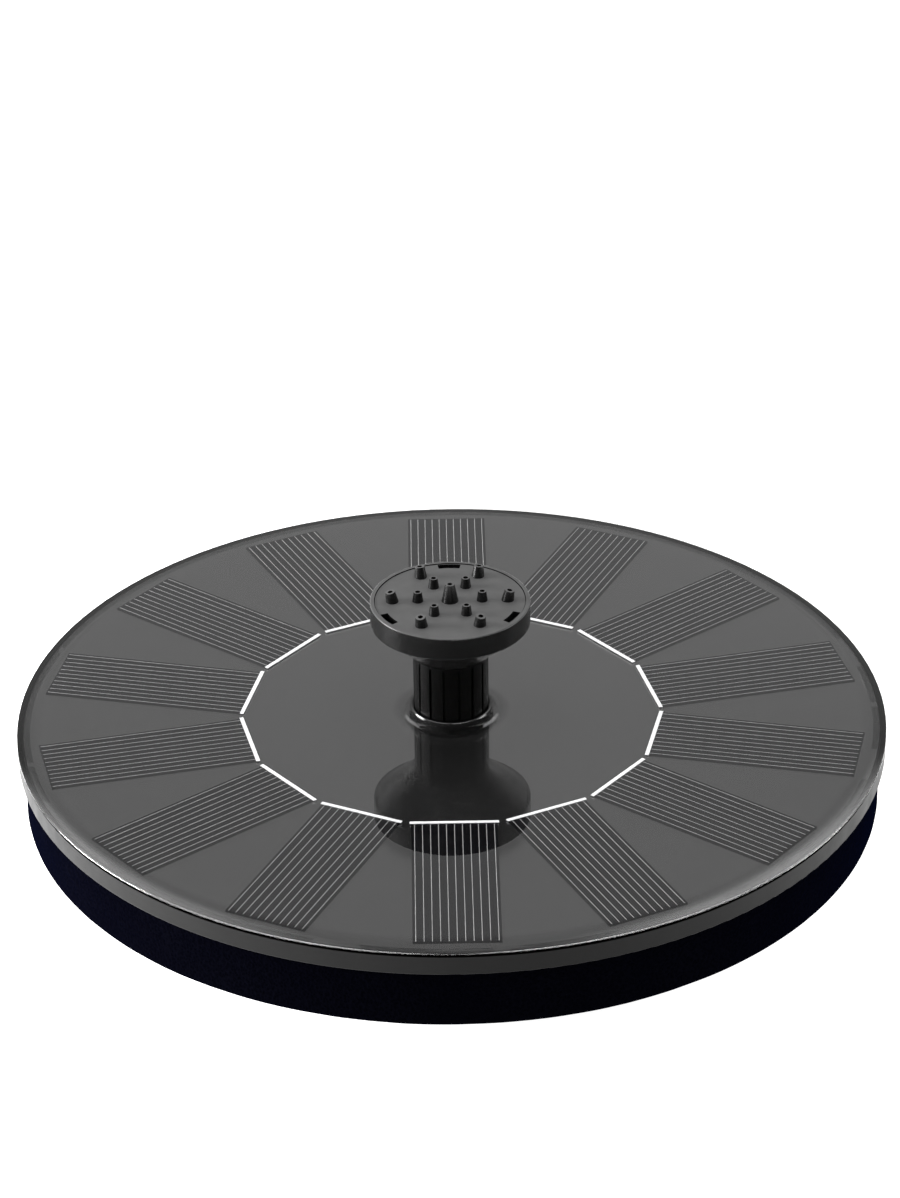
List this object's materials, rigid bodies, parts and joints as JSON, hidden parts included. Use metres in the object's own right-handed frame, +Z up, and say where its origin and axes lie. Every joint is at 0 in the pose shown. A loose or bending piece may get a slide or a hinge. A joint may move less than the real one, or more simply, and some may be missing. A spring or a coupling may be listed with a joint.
{
  "type": "solar fountain pump",
  "caption": "Round solar panel on a foam float ring with a sealed pump under it, a slotted intake cover, and a ribbed nozzle collar with a round spray head on top.",
  "frame": {"origin": "centre of the flat underside of the intake cover, on the axis of the panel and the nozzle", "axes": "+Z up through the nozzle; -Y is the front; +X points from the outlet to the motor"},
  "size_m": [0.16, 0.16, 0.0562],
  "materials": {
    "clear_resin": "clear, high gloss",
    "silicon": "dark, smooth",
    "tinned_ribbon": "bright tinned",
    "black_laminate": "satin black",
    "tray_plastic": "satin moulded black",
    "stainless": "bright",
    "foam": "closed-cell foam, matt black",
    "pump_plastic": "satin moulded black",
    "circuit_board": "green solder mask",
    "chip_plastic": "matt black",
    "capacitor_can": "satin",
    "core_iron": "laminated",
    "bobbin_plastic": "natural nylon",
    "red_insulation": "satin",
    "black_insulation": "satin",
    "potting_resin": "gloss black",
    "white_ceramic": "ground",
    "seal_rubber": "matt",
    "impeller_plastic": "moulded",
    "ferrite": "sintered",
    "nozzle_plastic": "satin moulded black",
    "head_plastic": "satin moulded dark grey",
    "copper_wire": "enamelled copper"
  },
  "bodies": {
    "pump": {"clear_cover": "clear_resin", "backing_board": "black_laminate", "panel_tray": "tray_plastic", "port_flange": "tray_plastic", "housing_screws": "stainless", "float_ring": "foam", "pump_housing": "pump_plastic", "driver_board": "circuit_board", "hall_sensor": "chip_plastic", "blocking_diode": "chip_plastic", "buffer_capacitor": "capacitor_can", "stator_core": "core_iron", "stator_bobbin": "bobbin_plastic", "lead_wire_positive": "red_insulation", "lead_wire_negative": "black_insulation", "resin_seal": "potting_resin", "rotor_shaft": "white_ceramic", "front_shaft_seat": "seal_rubber", "rear_shaft_seat": "seal_rubber", "thrust_washers": "white_ceramic", "volute_cover": "pump_plastic", "volute_o_ring": "seal_rubber", "stator_coil_1": "copper_wire", "stator_coil_2": "copper_wire", "stator_coil_3": "copper_wire", "stator_coil_4": "copper_wire", "solar_cell_01": "silicon", "bus_ribbon_01": "tinned_ribbon", "solar_cell_02": "silicon", "bus_ribbon_02": "tinned_ribbon", "solar_cell_03": "silicon", "bus_ribbon_03": "tinned_ribbon", "solar_cell_04": "silicon", "bus_ribbon_04": "tinned_ribbon", "solar_cell_05": "silicon", "bus_ribbon_05": "tinned_ribbon", "solar_cell_06": "silicon", "bus_ribbon_06": "tinned_ribbon", "solar_cell_07": "silicon", "bus_ribbon_07": "tinned_ribbon", "solar_cell_08": "silicon", "bus_ribbon_08": "tinned_ribbon", "solar_cell_09": "silicon", "bus_ribbon_09": "tinned_ribbon", "solar_cell_10": "silicon", "bus_ribbon_10": "tinned_ribbon", "solar_cell_11": "silicon", "bus_ribbon_11": "tinned_ribbon", "solar_cell_12": "silicon", "bus_ribbon_12": "tinned_ribbon", "solar_cell_13": "silicon", "bus_ribbon_13": "tinned_ribbon", "solar_cell_14": "silicon", "bus_ribbon_14": "tinned_ribbon"},
    "rotor": {"impeller": "impeller_plastic", "rotor_magnet": "ferrite"},
    "intake": {"intake_cover": "pump_plastic"},
    "collar": {"nozzle_collar": "nozzle_plastic"},
    "head": {"head_cup": "head_plastic", "jet_plate": "head_plastic"}
  },
  "joints": [
    {"name": "rotor_spin", "type": "hinge", "parent": "pump", "child": "rotor", "pos_m": [0.0168, 0, 0.0176], "axis": [0, 0, 1], "continuous": true},
    {"name": "collar_lift", "type": "slide", "parent": "pump", "child": "collar", "axis": [0, 0, 1], "range_m": [0, 0.015]},
    {"name": "head_lift", "type": "slide", "parent": "collar", "child": "head", "axis": [0, 0, 1], "range_m": [0, 0.008]},
    {"name": "intake_release", "type": "slide", "parent": "pump", "child": "intake", "axis": [0, 0, -1], "range_m": [0, 0.012]}
  ]
}
